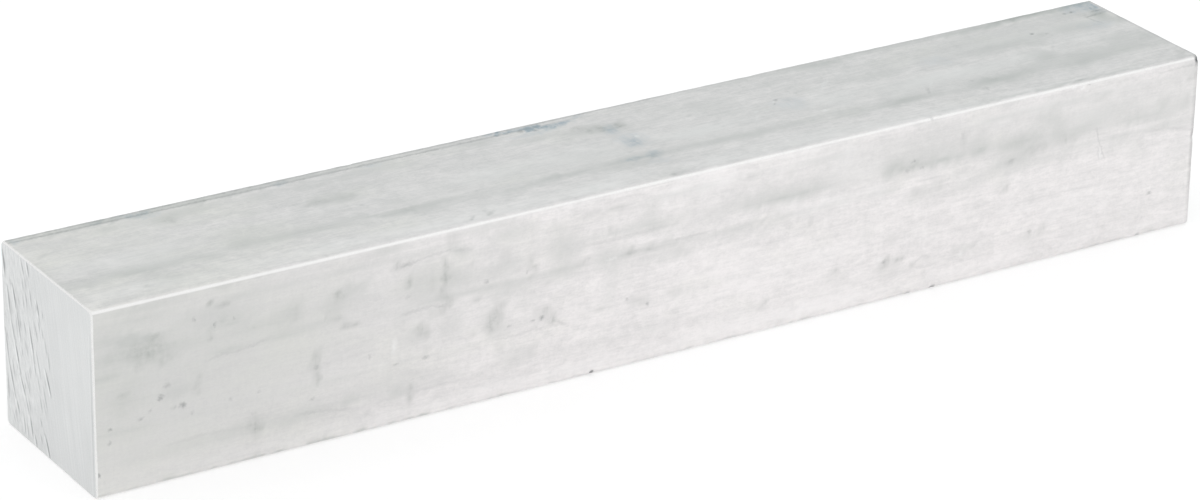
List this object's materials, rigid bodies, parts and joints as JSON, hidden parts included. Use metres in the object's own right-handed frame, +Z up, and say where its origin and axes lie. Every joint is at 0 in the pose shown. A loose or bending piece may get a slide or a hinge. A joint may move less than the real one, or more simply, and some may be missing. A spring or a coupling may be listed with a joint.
{
  "type": "aluminium square bar",
  "caption": "Short length of solid extruded aluminium square bar with softly rounded long edges, sawn ends and a mill finish with handling marks.",
  "frame": {"origin": "middle of the underside, on the surface that the bar lies on", "axes": "+X along the bar from one sawn end to the other, +Y across it, +Z up"},
  "size_m": [0.2, 0.03, 0.03],
  "materials": {
    "mill_finish_aluminium": "mill finish, satin, with saw-cut ends"
  },
  "bodies": {
    "root": {"square_bar": "mill_finish_aluminium"}
  },
  "joints": []
}
